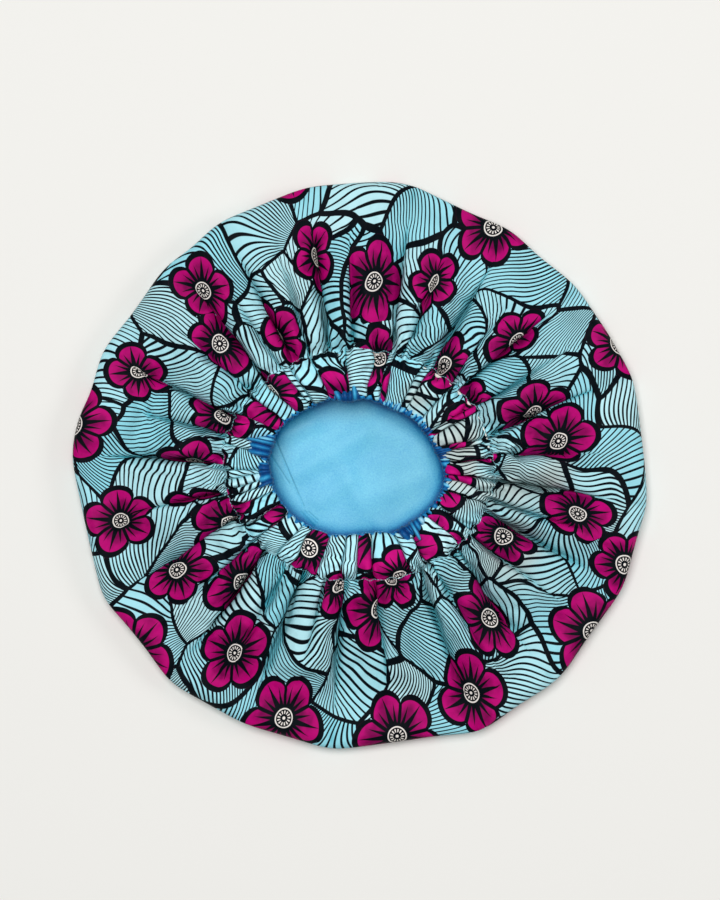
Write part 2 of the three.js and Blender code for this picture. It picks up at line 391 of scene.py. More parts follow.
def casingRing(share, gain):
    # share runs from 0 at the stitching to 1 at the rim
    arch = hump(share ** 0.85)
    valley = mix(bonnet["stitchHeight"], rimHeight, share) - 0.0010 * arch
    valley = valley - puffing["pinch"] * (1 - ramp(0, 0.2, share))
    flat = 0.7 * tuck * ramp(0.55, 0.95, share)
    stand = puffing["height"] * (arch ** 0.55 + 0.30 * share ** 4) * (1 - flat)
    inward = 0.0020 * ramp(0.6, 1, share) * (puffRidge - 0.5) * (1 - tuck)
    angle = mix(gatherAngle(0.26), puffAngle(0.75, share), ramp(0, 0.3, share))
    angle = angle + 0.020 * quick * math.sin(turn * share) + 0.016 * sway * hump(share)
    distance = casingWidth * (1 - share) + rimShift(angle) * mix(bonnet["stitchFollows"], 1, share) - inward
    distance = distance + stitchStray * (1 - ramp(0, 0.25, share))
    pucker = puffing["pucker"] * puckers * (1 - 0.9 * ramp(0, 0.45, share) + 0.45 * ramp(0.75, 1, share))
    # the stray folds of the front serve again, moved round
    stray = 0.9 * np.roll(strayHeight(0.3 + 0.5 * share), 37) + crumpleHeight(casingWidth * share)
    height = valley + gain * (stand * puffHeight * puffRidge + pucker + stray * arch)
    return "casing" if share < 1 else "rim", besideRim(distance, angle), height


def layCloth(gain):
    # every ring from the middle of the crown to the rim; gain swells its folds
    laid = [("crown", unitRing * reach, 0.0) for reach in cloth["crownReach"]]
    laid += [rollRing(degrees, gain) for degrees in np.linspace(-90, cloth["rollTo"], cloth["rollRows"])]
    start = laid[-1][1]
    # the rows of the front crowd towards the stitching
    shares = np.linspace(0, 1, cloth["frontRows"] + 1)[1:] ** 0.82
    laid += [frontRing(share, start, gain) for share in shares]
    laid += [casingRing(share, gain) for share in np.linspace(0, 1, cloth["casingRows"] + 1)[1:]]
    angle = puffAngle(0.4, 1)
    turnedIn = besideRim(0.0012 + 0.001 * tuck + rimShift(angle), angle)
    laid.append(("turned", turnedIn, rimHeight - 0.0014))
    return np.array([ring(xy, height) for _, xy, height in laid]), [kind for kind, _, _ in laid]


laidRings, ringKinds = layCloth(1.0)
edgeRow, stitchRow, rimRow = ringKinds.index("edge"), ringKinds.index("stitching"), ringKinds.index("rim")
rollEnd = max(row for row, kind in enumerate(ringKinds) if kind == "roll")
cutReach = reachOf(stepsBetween(laidRings).mean(1))
print(f"cloth: {len(ringKinds)} rings of {columns}, cut {2000 * cutReach[-1]:.0f} mm across")


def addPiece(name, shape):
    mesh = bpy.data.meshes.new(name)
    shape.to_mesh(mesh)
    shape.free()
    piece = bpy.data.objects.new(name, mesh)
    scene.collection.objects.link(piece)
    return piece


def thicken(piece, thickness):
    wall = piece.modifiers.new("wall", "SOLIDIFY")
    wall.thickness = thickness
    wall.offset = -1


def orderOf(item):
    # ring by ring to a hundredth of a millimetre, each from a quarter of a column before its first
    points = [vert.co for vert in getattr(item, "verts", [item])]
    x, y, _ = sum(points, Vector()) / len(points)
    return round(1e5 * math.hypot(x, y)) + (math.atan2(y, x) / turn + 0.25 / columns) % 1


def cutCircle(name, reaches):
    # the flat cut cloth: one line of points spun into a disc
    disc = bmesh.new()
    line = [disc.verts.new((reach, 0, 0)) for reach in reaches]
    edges = [disc.edges.new(pair) for pair in zip(line, line[1:])]
    bmesh.ops.spin(
        disc, geom=line + edges, cent=(0, 0, 0), axis=(0, 0, 1), angle=turn, steps=columns, use_merge=True,
    )
    bmesh.ops.remove_doubles(disc, verts=disc.verts[:], dist=1e-6)
    # in a set order the cloth settles alike in every run
    for items in (disc.verts, disc.edges, disc.faces):
        items.sort(key=orderOf)
        items.index_update()
    disc.normal_update()
    bmesh.ops.reverse_faces(disc, faces=[face for face in disc.faces if face.normal.z > 0])
    disc.loops.layers.uv.new("cut")
    for face in disc.faces:
        face.smooth = True
    piece = addPiece(name, disc)
    flat = readPoints(piece.data)
    rows = np.abs(norm(flat[:, :2], axis=1)[:, None] - np.asarray(reaches)[None]).argmin(1)
    places = np.rint(np.arctan2(flat[:, 1], flat[:, 0]) % turn * columns / turn).astype(int) % columns
    return piece, rows, places


def readAll(items, key, width=1, kind=np.int32):
    values = np.empty(len(items) * width, kind)
    items.foreach_get(key, values)
    return values


def readPoints(mesh):
    return readAll(mesh.vertices, "co", 3, np.float32).reshape(-1, 3)


def setPoints(piece, points):
    piece.data.vertices.foreach_set("co", points.astype(np.float32).ravel())
    piece.data.update()


def cornerPoints(piece):
    # the point that each face corner is at
    return readAll(piece.data.loops, "vertex_index")


def setFlat(piece, flat):
    # the place of each face corner on the flat cloth, as the UV map
    piece.data.uv_layers["cut"].data.foreach_set("uv", flat.astype(np.float32).ravel())


def setShade(piece, shade):
    # painted shade, and painted light where below zero, kept on each point for the finishes
    layer = piece.data.attributes.new("paintedShadeAndLight", "FLOAT", "POINT")
    layer.data.foreach_set("value", shade.astype(np.float32))


def settle(piece, rows, places):
    # the cloth springs out towards fuller folds, held at the crown, the outer edge, the stitching and the rim
    heldRows = [row for row, kind in enumerate(ringKinds) if kind not in ("roll", "front", "casing")]
    piece.shape_key_add(name="laid")
    rest = piece.shape_key_add(name="full")
    rest.data.foreach_set("co", layCloth(cloth["restGain"])[0][rows, places].astype(np.float32).ravel())
    group = piece.vertex_groups.new(name="held")
    group.add(np.flatnonzero(np.isin(rows, heldRows)).tolist(), 1.0, "REPLACE")
    disc = bmesh.new()
    bmesh.ops.create_circle(disc, cap_ends=True, segments=64, radius=0.3)
    bed = addPiece("bed", disc)
    bed.location.z = -0.001
    bed.modifiers.new("bed", "COLLISION")
    bed.collision.thickness_outer = 0.001
    fall = piece.modifiers.new("fall", "CLOTH")
    for key, value in cloth["weave"].items():
        setattr(fall.settings, key, value)
    fall.settings.vertex_group_mass = "held"
    fall.settings.rest_shape_key = rest
    fall.settings.effector_weights.gravity = 0.1
    fall.collision_settings.distance_min = 0.0015
    fall.point_cache.frame_start = 1
    fall.point_cache.frame_end = cloth["frames"]
    for number in range(1, cloth["frames"] + 1):
        scene.frame_set(number)
    points = readPoints(piece.evaluated_get(bpy.context.evaluated_depsgraph_get()).data)
    piece.modifiers.clear()
    piece.shape_key_clear()
    bpy.data.objects.remove(bed)
    scene.frame_set(1)
    return points


def onGrid(points, rows, places):
    grid = np.zeros((rows.max() + 1, columns, 3))
    grid[rows, places] = points
    grid[0] = points[rows == 0][0]
    return grid


def spreadPrint(natural, ease, edges, splits, splitShare):
    # between two edges the print keeps about its own scale, and the spare cloth is hidden in the creases
    step, hidden = natural.copy(), np.zeros(columns)
    start = np.empty(columns)
    for number, (first, last) in enumerate(zip(edges, edges[1:])):
        here = np.arange(first, last) % columns
        wide = (last - first) * turn / columns
        step[here] *= min(wide / natural[here].sum(), ease)
        spare = wide - step[here].sum()
        atEdge = (1 - splitShare) / 2 * spare
        start[here] = first * turn / columns + atEdge + np.cumsum(step[here]) - step[here]
        hidden[here[0]] += atEdge
        hidden[last % columns] += atEdge
        if splits is not None:
            start[here[splits[number] - first:]] += splitShare * spare
            hidden[splits[number] % columns] = splitShare * spare
    return start, start + step, hidden


def layPrint(grid, edges, splits=None):
    # the print's angle at the near and far side of every face, and the metres of cloth hidden at each column
    near, far, hidden = np.zeros((3, len(grid), columns))
    near[:], far[:] = cutAngle, cutAngle + turn / columns
    splitShare, ease = 0.0, 1.0
    for row in range(edgeRow, len(grid)):
        natural = norm(np.roll(grid[row], -1, 0) - grid[row], axis=1) / cutReach[row]
        if splits is not None:
            # the soft outer folds hide no cloth
            inward = (row - rollEnd) / (stitchRow - rollEnd)
            splitShare = 0.5 * float(ramp(0.05, 0.5, inward))
            ease = 1.30 - 0.25 * float(ramp(0.2, 0.8, inward))
        near[row], far[row], hidden[row] = spreadPrint(natural, ease, edges, splits, splitShare)
        hidden[row] *= cutReach[row]
    return near, far, hidden


def paintedCreaseShade(grid, hidden):
    # painted shade: how dark each point is painted, from the cloth hidden in a tight crease beside it and
    # from how low it lies between its neighbours
    shade = np.zeros(grid.shape[:2])
    for row in range(edgeRow, len(grid)):
        width, lowShare = (0.0015, 0.6) if row < stitchRow else (0.0009, 0.3)
        lowShare = 1.0 if abs(row - stitchRow) < 3 else lowShare  # painted shade counts low places fully beside the stitching, where the stitches pull the cloth in
        reach = np.cumsum(norm(grid[row] - np.roll(grid[row], 1, 0), axis=1))
        edges = np.flatnonzero(hidden[row] > 0.0005)
        away = np.abs(reach[:, None] - reach[edges][None])
        away = np.minimum(away, reach[-1] - away)
        depth = np.clip(hidden[row][edges] / 0.008, 0, 1) * bell(away / width)
        low = ramp(0.0002, 0.0040, blur(grid[row, :, 2], 14) - grid[row, :, 2])
        shade[row] = np.maximum(depth.max(1) if len(edges) else 0, lowShare * low)
    return shade


def dressPrint(piece, grid, rows, places):
    # the print breaks at the gathers of the front, at the stitching and at the puffs of the casing
    splits = gatherEdge[~np.isin(gatherEdge, cornerAt)]
    front, casing = layPrint(grid, cornerAt, splits), layPrint(grid, puffEdge)
    points = cornerPoints(piece)
    row, place = rows[points], places[points]
    first = readAll(piece.data.polygons, "loop_start")
    count = np.diff(np.append(first, len(points)))
    faceRow = np.repeat(np.minimum.reduceat(row, first), count)
    low = np.repeat(np.minimum.reduceat(np.where(row > 0, place, columns), first), count)
    high = np.repeat(np.maximum.reduceat(np.where(row > 0, place, -1), first), count)
    column = np.where(high - low > 1, high, low)
    onFront, inCasing = [
        np.where(place == column, near[row, column], far[row, column]) for near, far, _ in (front, casing)
    ]
    angle = np.where(faceRow >= stitchRow, inCasing, onFront)
    setFlat(piece, np.stack([np.cos(angle), np.sin(angle)], 1) * cutReach[row][:, None])
    # painted light: the puffs of the casing are painted a little paler than the front, most at their crests,
    # over their painted crease shade
    paintedCasingShadeAndLight = paintedCreaseShade(grid, casing[2])[stitchRow:] - (0.10 + 0.24 * puffRidge)
    shade = np.concatenate([paintedCreaseShade(grid, front[2])[:stitchRow], paintedCasingShadeAndLight])
    setShade(piece, shade[rows, places])


def makeCover():
    piece, rows, places = cutCircle("printedCover", cutReach)
    setPoints(piece, laidRings[rows, places])
    grid = onGrid(settle(piece, rows, places), rows, places)
    # the casing stays clear of the elastic, and of its lap at the back
    inCasing = grid[stitchRow + 1:rimRow]
    across = casingWidth * np.linspace(1, 0, rimRow - stitchRow + 1)[1:-1]
    angle = np.arctan2(inCasing[:, :, 1], inCasing[:, :, 0])
    overLap = ramp(0.55, 0.35, np.abs(angle - pi / 2 - 0.16))
    clear = 0.0024 + 0.0016 * overLap
    overEdge = ramp(0.027, 0.0245, across)[:, None]
    least = casingFloor(across)[:, None] + mix(0.0008, clear, overEdge)
    inCasing[:, :, 2] = np.maximum(inCasing[:, :, 2], least)
    grid[:, :, 2] = np.maximum(grid[:, :, 2], 0)
    grid[:, :, :2] -= middle
    setPoints(piece, grid[rows, places])
    dressPrint(piece, grid, rows, places)
    thicken(piece, cloth["wall"])
    return piece, grid


def facing(grid):
    # which way is out, at each point of a grid
    sideways = np.roll(grid, -1, 1) - np.roll(grid, 1, 1)
    out = np.cross(sideways, np.gradient(grid, axis=0))
    return out / np.maximum(norm(out, axis=2, keepdims=True), 1e-12)


cover, coverGrid = makeCover()
coverOut = facing(coverGrid)
print(f"cover: top {1000 * coverGrid[:, :, 2].max():.1f} mm, {time.time() - started:.0f} s")

# The satin, a hand's breadth of which shows in the opening
lining = {
    "gap": 0.0015,  # under the face of the cover
    "crownReach": [*range(0, 40, 4), *range(38, 64, 2), 68, 80, 96, 112, 130, 146],  # millimetres
    "casingRows": 8,
    "wall": 0.0004,
    # soft wrinkles of the crown: two ends, height and width in millimetres
    "wrinkles": [
        (-40, -5, 1, 18.5, 1.92, 6.5), (-10.5, 1, -2.5, -19, 1.12, 5), (-25, -22, -6, -9, 1.44, 6),
        (6, 23.5, 42, 11, 1.44, 7.5), (2, -22.5, 39, -6, 1.28, 8), (-48, 19, -30, 26, 1.76, 6),
        (15, 2, 33, 4, 0.96, 7),
    ],
    # rows of the lip: millimetres out, out where tucked, up and up where tucked, then ruffle and painted
    # shade
    "lip": [
        (1.8, 0, -2.6, 0, 0.2, 0.9), (0.4, -0.4, -2.2, 0, 0.5, 0.8), (-0.6, -1.2, -1.4, 0.6, 0.8, 0.6),
        (-1, -1.6, -0.4, 3, 1, 0.4), (-0.9, -0.4, 0.4, 5.8, 1, 0.15), (-0.4, 2.2, 0.3, 7.2, 1, 0),
        (0, 5, 0, 7.6, 1, 0), (0.4, 7.4, -0.4, 6.2, 0.9, 0), (0.3, 8.4, -0.8, 3.6, 0.7, 0),
        (0.2, 8, -1.2, 1.2, 0.4, 0.2),
    ],
}
crownReach = mm * np.array(lining["crownReach"])
underRows = [*range(edgeRow + 2, stitchRow, 2), stitchRow]
satinStitchRow = len(crownReach) + len(underRows) - 1

# Uneven little folds of the satin round the lip, the widest of them open loops
ruffling = {
    "seed": 31, "count": 84,
    "width": (0.5, 1.8),
    "loopWidth": (1.25, 1.45),  # from where a fold opens to where it is a full loop
    "lift": (0.75, 1.2),
    "frill": 0.35,
    "lean": 0.014,  # radians that a fold slants from row to row
    "out": 1.4, "up": 5.2,  # millimetres
}


def wrinkleHeight(xy):
    height = np.zeros(len(xy))
    for wrinkle in lining["wrinkles"]:
        x0, y0, x1, y1, rise, width = mm * np.array(wrinkle)
        a, along = np.array([x0, y0]), np.array([x1 - x0, y1 - y0])
        share = np.clip((xy - a) @ along / (along @ along), 0, 1)
        away = norm(xy - a - share[:, None] * along, axis=1)
        height += rise * bell(away / width)
    return height


def planRuffle():
    # the ridge of each fold, and how long each is
    chance = np.random.RandomState(ruffling["seed"])
    widths = chance.uniform(*ruffling["width"], ruffling["count"])
    edges = edgesOf(widths)
    fold = np.searchsorted(edges, np.arange(columns), "right") - 1
    share = (np.arange(columns) - edges[fold] + 0.5) / np.diff(edges)[fold]
    loop = ramp(*ruffling["loopWidth"], widths)[fold] * bell((share - 0.5) / 0.17)
    ridge = np.sin(pi * share) ** 0.8 - 0.8 * loop
    ridge = ridge * chance.uniform(*ruffling["lift"], len(widths))[fold]
    return ridge, blur(chance.uniform(-1, 1, len(widths))[fold], 2)


def layUnder():
    # the satin from the middle of the crown to the lip, close under the cover
    gap = lining["gap"]
    rings = [ring(xy, gap + wrinkleHeight(xy)) for xy in unitRing * crownReach[:, None, None] - middle]
    inside = coverGrid - coverOut * gap
    lowest = np.min([np.roll(inside[:, :, 2], step, 1) for step in range(-3, 4)], 0)
    for row in underRows:
        near = lowest[row - 1:row + 2].min(0) if row > rollEnd else inside[row, :, 2]
        rings.append(ring(inside[row, :, :2], np.maximum(blur(near, 2), gap)))
    for share in np.linspace(0, 1, lining["casingRows"] + 2)[1:-1]:
        distance = mix(0.026, 0.003, share)
        angle = puffAngle(0.5, share)
        shift = rimShift(angle) * mix(bonnet["stitchFollows"], 1, share)
        sag = 0.0035 * hump(share) * puffRidge
        rings.append(ring(besideRim(distance + shift, angle) - middle, casingFloor(distance) - 0.0006 - sag))
    return rings


def layLip():
    # the lip climbs inside the rim, and where it is tucked out it rolls over the printed edge
    ridge, length = planRuffle()
    pleat = ridge - 0.5
    # painted shade in the grooves of the ruffle, and painted highlight on its crests
    paintedShading = 0.20 + 0.80 * ramp(0.46, -0.15, pleat) - 1.1 * ramp(0.38, 0.58, pleat)
    paintedShading = mix(0.4, paintedShading, ramp(0, 0.4, tuck))
    lean = ruffling["lean"] * unevenness(36, 10, 30)
    frill = ruffling["frill"] * np.cos(82 * cutAngle + 3 * unevenness(32, 5, 20))
    stand = 0.30 + 0.9 * ramp(0, 0.8, tuck)
    longer, higher = 1 + 0.55 * length, 1 + 0.35 * length
    rings, shade = [], []
    for step, (distance, outward, height, rise, ruffle, dim) in enumerate(lining["lip"]):
        wave = ruffle * (stand * pleat + (1 - tuck) * frill)
        reach = mm * (distance + outward * tuck * longer + ruffling["out"] * wave) + rimShift(rimAngle)
        lift = rimHeight + mm * (height + rise * tuck * higher + ruffling["up"] * wave)
        rings.append(ring(besideRim(reach, rimAngle + lean * (step - 2) * tuck) - middle, lift))
        shade.append(np.clip(dim + ruffle * paintedShading, -1, 1))
    return rings, shade


def makeLining():
    lip, lipShade = layLip()
    grid = np.array(layUnder() + lip)
    reaches = reachOf(stepsBetween(grid).mean(1))
    piece, rows, places = cutCircle("satinLining", reaches)
    setPoints(piece, grid[rows, places])
    setFlat(piece, (unitRing[None] * reaches[:, None, None])[rows, places][cornerPoints(piece)])
    # painted shade: the crown is painted darker where it lies in the shade of the rim, and the satin under
    # the cover is painted a little darker
    rimReach = 1 / norm(unitRing / halfOpening, axis=1) + rimShift(cutAngle)
    inside = rimReach[None] - crownReach[:, None]
    paintedRimShade = (0.45 + 0.3 * ramp(0, 0.4, tuck)) * ramp(0.0045, -0.001, inside)
    shade = np.full(grid.shape[:2], 0.3)
    shade[:len(crownReach)] = 0.22 * ramp(0.010, 0, inside) + paintedRimShade
    shade[-len(lipShade):] = lipShade
    setShade(piece, shade[rows, places])
    thicken(piece, lining["wall"])
    return piece, grid


satin, satinGrid = makeLining()
print(f"satin: {len(satinGrid)} rings")

# Flat elastic, lapped over its own start at the back of the opening
band = {
    "ease": 0.0035,  # between the rim and the elastic
    "width": 0.020, "thickness": 0.0012, "edge": 0.0003,
    "lap": 0.018, "lapAt": 90,
    "climb": (0.25, 0.02),  # radians before the lap, from where to where the upper end climbs
    "clear": 0.0003,
    "steps": 240,
    "narrow": 8,  # the spin is made that much narrower, so that its lapped ends stay apart
    "meanReach": 0.06,
}
lapAt, lapTurn = math.radians(band["lapAt"]), band["lap"] / (halfOpening[1] + casingWidth / 2)


def alongBand(vert):
    along = math.atan2(vert.co.y, vert.co.x) * band["narrow"]
    return along, math.hypot(vert.co.x, vert.co.y) - 1


def makeElastic():
    strip = bmesh.new()
    section = [(band["ease"], 0), (band["ease"] + band["width"], 0)]
    section += [(reach, band["thickness"]) for reach, _ in reversed(section)]
    corners = [strip.verts.new((1 + reach, 0, up)) for reach, up in section]
    edges = [strip.edges.new((corners[n], corners[(n + 1) % 4])) for n in range(4)]
    bmesh.ops.spin(
        strip, geom=corners + edges, cent=(0, 0, 0), axis=(0, 0, 1),
        angle=(turn + lapTurn) / band["narrow"], steps=band["steps"],
    )
    bmesh.ops.holes_fill(strip, edges=[edge for edge in strip.edges if edge.is_boundary], sides=4)
    woven = strip.loops.layers.uv.new("cut")
    for face in strip.faces:
        for loop in face.loops:
            along, reach = alongBand(loop.vert)
            loop[woven].uv = (band["meanReach"] * along, reach)
    climbFrom, climbTo = band["climb"]
    for vert in strip.verts:
        along, reach = alongBand(vert)
        climbed = float(ramp(turn - climbFrom, turn - climbTo, along))
        raised = (band["thickness"] + band["clear"]) * climbed
        x, y = besideRim(reach, lapAt + along) - middle
        vert.co = (x, y, float(casingFloor(reach)) + band["clear"] + vert.co.z + raised)
    bmesh.ops.recalc_face_normals(strip, faces=strip.faces[:])
    piece = addPiece("elasticBand", strip)
    edge = piece.modifiers.new("edge", "BEVEL")
    edge.width = band["edge"]
    edge.segments = 2
    return piece


elastic = makeElastic()
print("elastic: laid in the casing")

# Rows of stitches, each a short plump length of thread
sewing = {
    "thread": 0.0006, "length": 0.0024,
    "cover": 0.80,  # share of its length that a stitch fills
    "overCloth": 0.0003, "underSatin": 0.0007,
    "gapAt": 250,  # degrees, of the gap left for turning
    "gapHalf": 0.025,
    "zigzag": 0.002,
}


def alongPath(points, closed):
    # the same path in steps of one stitch
    points = np.concatenate([points, points[:1]]) if closed else points
    reach = reachOf(stepsBetween(points))
    stops = np.linspace(0, reach[-1], max(int(reach[-1] / sewing["length"]), 2) + 1)
    path = np.stack([np.interp(stops, reach, points[:, axis]) for axis in range(3)], 1)
    return path[:-1] if closed else path


def sewRow(name, points, closed=False):
    row = bmesh.new()
    path = [Vector(point) for point in alongPath(points, closed)]
    for here, there in zip(path, path[1:] + path[:1] if closed else path[1:]):
        along = there - here
        turned = along.to_track_quat("Z", "Y").to_matrix().to_4x4()
        long = along.length * sewing["cover"] / 2
        size = Matrix.Diagonal((sewing["thread"] / 2, sewing["thread"] / 2, long, 1))
        place = Matrix.Translation((here + there) / 2) @ turned @ size
        bmesh.ops.create_uvsphere(row, u_segments=6, v_segments=5, radius=1, matrix=place)
    for face in row.faces:
        face.smooth = True
    return addPiece(name, row)


def makeStitching():
    half = sewing["gapHalf"] / halfOpening.mean()
    gapAt = math.radians(sewing["gapAt"])
    raised = coverGrid + sewing["overCloth"] * coverOut
    bobbin = (satinGrid - sewing["underSatin"] * facing(satinGrid))[satinStitchRow]
    angle = np.linspace(gapAt + half, gapAt - half + turn, 160)
    seam = ring(besideRim(0.0012 + rimShift(angle), angle) - middle, 0.0259)
    fromGap = angleFrom(gapAt, rimAngle)
    inGap = np.abs(fromGap) < half + 0.11
    closing = raised[rimRow][inGap][np.argsort(fromGap[inGap])]
    share = np.linspace(0, 1, 31)
    reach = mix(band["ease"] + sewing["zigzag"], band["ease"] + band["width"] - sewing["zigzag"], share)
    swing = sewing["zigzag"] * np.cos(5 * pi * share) / (halfOpening[1] + reach)
    top = casingFloor(reach) + 2 * band["thickness"] + 2 * band["clear"] + sewing["thread"] / 2
    zigzag = ring(besideRim(reach, lapAt + lapTurn / 2 + swing) - middle, top)
    return [
        sewRow("casingNeedleStitches", raised[stitchRow], True),
        sewRow("casingBobbinStitches", bobbin, True),
        sewRow("rimSeamStitches", seam),
        sewRow("rimGapStitches", closing),
        sewRow("elasticJoinStitches", zigzag),
    ]


needleRow, bobbinRow, seamRow, gapRow, joinRow = makeStitching()
print("stitching: five rows sewn")


# Finishes
def newMaterial(name):
    made = bpy.data.materials.new(name)
    made.use_nodes = True
    return made, made.node_tree, made.node_tree.nodes["Principled BSDF"]


def setInputs(node, inputs):
    for key, value in inputs.items():
        if isinstance(value, Wire):
            value.tree.links.new(value.socket, node.inputs[key])
        else:
            node.inputs[key].default_value = value


def addNode(tree, kind, inputs, **settings):
    made = tree.nodes.new("ShaderNode" + kind)
    for key, value in settings.items():
        setattr(made, key, value)
    setInputs(made, inputs)
    return made


def wire(tree, kind, inputs, output=0, **settings):
    return Wire(addNode(tree, kind, inputs, **settings).outputs[output])


class Wire:
    # a number, vector or colour in a material's nodes, with the usual arithmetic
    def __init__(self, socket):
        self.socket = socket
        self.tree = socket.id_data
        self.isNumber = socket.type == "VALUE"

    def calc(self, operation, *values):
        kind = "Math" if self.isNumber else "VectorMath"
        output = "Value" if operation in ("LENGTH", "DOT_PRODUCT") else 0
        return wire(self.tree, kind, dict(enumerate((self, *values))), output, operation=operation)

    def scaled(self, factor):
        return wire(self.tree, "VectorMath", {0: self, "Scale": factor}, operation="SCALE")

    def parts(self):
        kind = "SeparateColor" if self.socket.type == "RGBA" else "SeparateXYZ"
        return [Wire(socket) for socket in addNode(self.tree, kind, {0: self}).outputs]

    __add__ = partialmethod(calc, "ADD")
    __sub__ = partialmethod(calc, "SUBTRACT")
    __mul__ = partialmethod(calc, "MULTIPLY")
    __truediv__ = partialmethod(calc, "DIVIDE")
    __pow__ = partialmethod(calc, "POWER")
    __abs__ = partialmethod(calc, "ABSOLUTE")


def flatPlace(tree):
    return wire(tree, "UVMap", {}, uv_map="cut")


def laidPlace(tree):
    return wire(tree, "TexCoord", {}, "Object")


def paintedShadeAndLightOf(tree):
    # the painted shade and light of each point
    return wire(tree, "Attribute", {}, "Fac", attribute_name="paintedShadeAndLight")


def noise(at, scale, detail=0.0, dimensions="3D", output="Fac"):
    inputs = {"Vector": at, "Scale": scale, "Detail": detail}
    return wire(at.tree, "TexNoise", inputs, output, noise_dimensions=dimensions)


def cells(at, apart, chance, **settings):
    inputs = {"Vector": at, "Scale": 1 / apart, "Randomness": chance}
    return addNode(at.tree, "TexVoronoi", inputs, voronoi_dimensions="2D", **settings)


def mixColour(share, first, second):
    return wire(share.tree, "Mix", {0: share, 6: first, 7: second}, 2, data_type="RGBA")


def below(value, edge, soft=0.12):
    # 1 where value is under edge, with a short soft step
    inputs = {"Value": value - edge, "From Min": -soft, "From Max": soft, "To Min": 1, "To Max": 0}
    return wire(value.tree, "MapRange", inputs, interpolation_type="SMOOTHSTEP")


def near(value, at, half, soft=0.12):
    return below(abs(value - at), half, soft)


def most(total, *others):
    for other in others:
        total = total.calc("MAXIMUM", other)
    return total


def bump(height, strength, distance):
    inputs = {"Height": height, "Strength": strength, "Distance": distance}
    return wire(height.tree, "Bump", inputs)


def srgb(*levels):
    linear = [((v / 255 + 0.055) / 1.055) ** 2.4 if v > 10 else v / 255 / 12.92 for v in levels]
    return (*linear, 1.0)


# Colours and sizes of the print, in millimetres on the flat cloth
cottonPrint = {
    "aqua": srgb(146, 220, 235),
    "paleAqua": srgb(192, 236, 243),
    "paintedGlareAqua": srgb(184, 197, 194),
    "ink": srgb(3, 10, 17),
    "magenta": srgb(186, 8, 114),
    "plum": srgb(120, 4, 75),
    "chalk": srgb(238, 232, 226),
    "patchApart": 47, "patchEdge": 1.6, "patchSway": 34.0,
    "apex": 68,  # from which a patch's rays spread
    "raysPerRadian": 22,
    "rayHalfWidth": 0.58,
    "rayShare": 0.24,  # of the way to the next ray, at most
    "rosetteApart": 71, "rosetteReach": 25.6, "petals": 5, "petalEdge": 2.0, "petalGap": 1.25,
    "midVein": 3.0, "sideVein": 2.2, "sideVeinAt": 0.33,  # radians beside the middle of the petal
    "eye": 8.2,
    "hoop": (5.9, 0.42),  # reach and half width
    "ticks": (3.6, 1.0),
    "tickCount": 13,
    "dot": 1.0,
    "thread": 0.7,
    # painted reflection: where a lamp's glare is painted as a greyer pale ground: middle, reach and softness
    # in metres on the laid bonnet
    "paintedGlares": [
        ((0.100, -0.025, 0.03), 0.050, 0.035), ((0.062, 0.004, 0.03), 0.028, 0.016),
        ((0.034, 0.044, 0.03), 0.012, 0.010),
    ],
}


def patchGround(flat):
    # patches of rays, each from a point well beside it, with an inked edge round the patch
    look = cottonPrint
    sway = noise(flat, 0.017, 0.0, "2D", "Color") - (0.5, 0.5, 0.5)
    bent = flat + sway.scaled(look["patchSway"])
    patch = cells(bent, look["patchApart"], 0.9)
    edge = Wire(cells(bent, look["patchApart"], 0.9, feature="DISTANCE_TO_EDGE").outputs["Distance"])
    chance = Wire(patch.outputs["Color"]).parts()
    spin = {"Vector": bent - Wire(patch.outputs["Position"]), "Angle": chance[0] * turn}
    fromApex = wire(flat.tree, "VectorRotate", spin, rotation_type="Z_AXIS") + (look["apex"], 0, 0)
    x, y, _ = fromApex.parts()
    bearing = y.calc("ARCTAN2", x) * look["raysPerRadian"]
    apart = fromApex.calc("LENGTH") / look["raysPerRadian"]
    offRay = abs(bearing.calc("FRACT") - 0.5) * apart
    rays = below(offRay, (apart * look["rayShare"]).calc("MINIMUM", look["rayHalfWidth"]))
    rimOfPatch = below(edge * look["patchApart"], look["patchEdge"])
    ground = mixColour(chance[1], look["aqua"], look["paleAqua"])
    place = laidPlace(flat.tree)
    # painted reflection: the pale ground turns greyer in a few patches, as under a lamp's glare
    spots = [below((place - at).calc("LENGTH"), reach, soft) for at, reach, soft in look["paintedGlares"]]
    paintedGlare = most(*spots) * below(noise(place, 22.0, 1.0), 0.58)
    ground = mixColour(paintedGlare * 0.95, ground, look["paintedGlareAqua"])
    return mixColour(most(rays, rimOfPatch), ground, look["ink"])


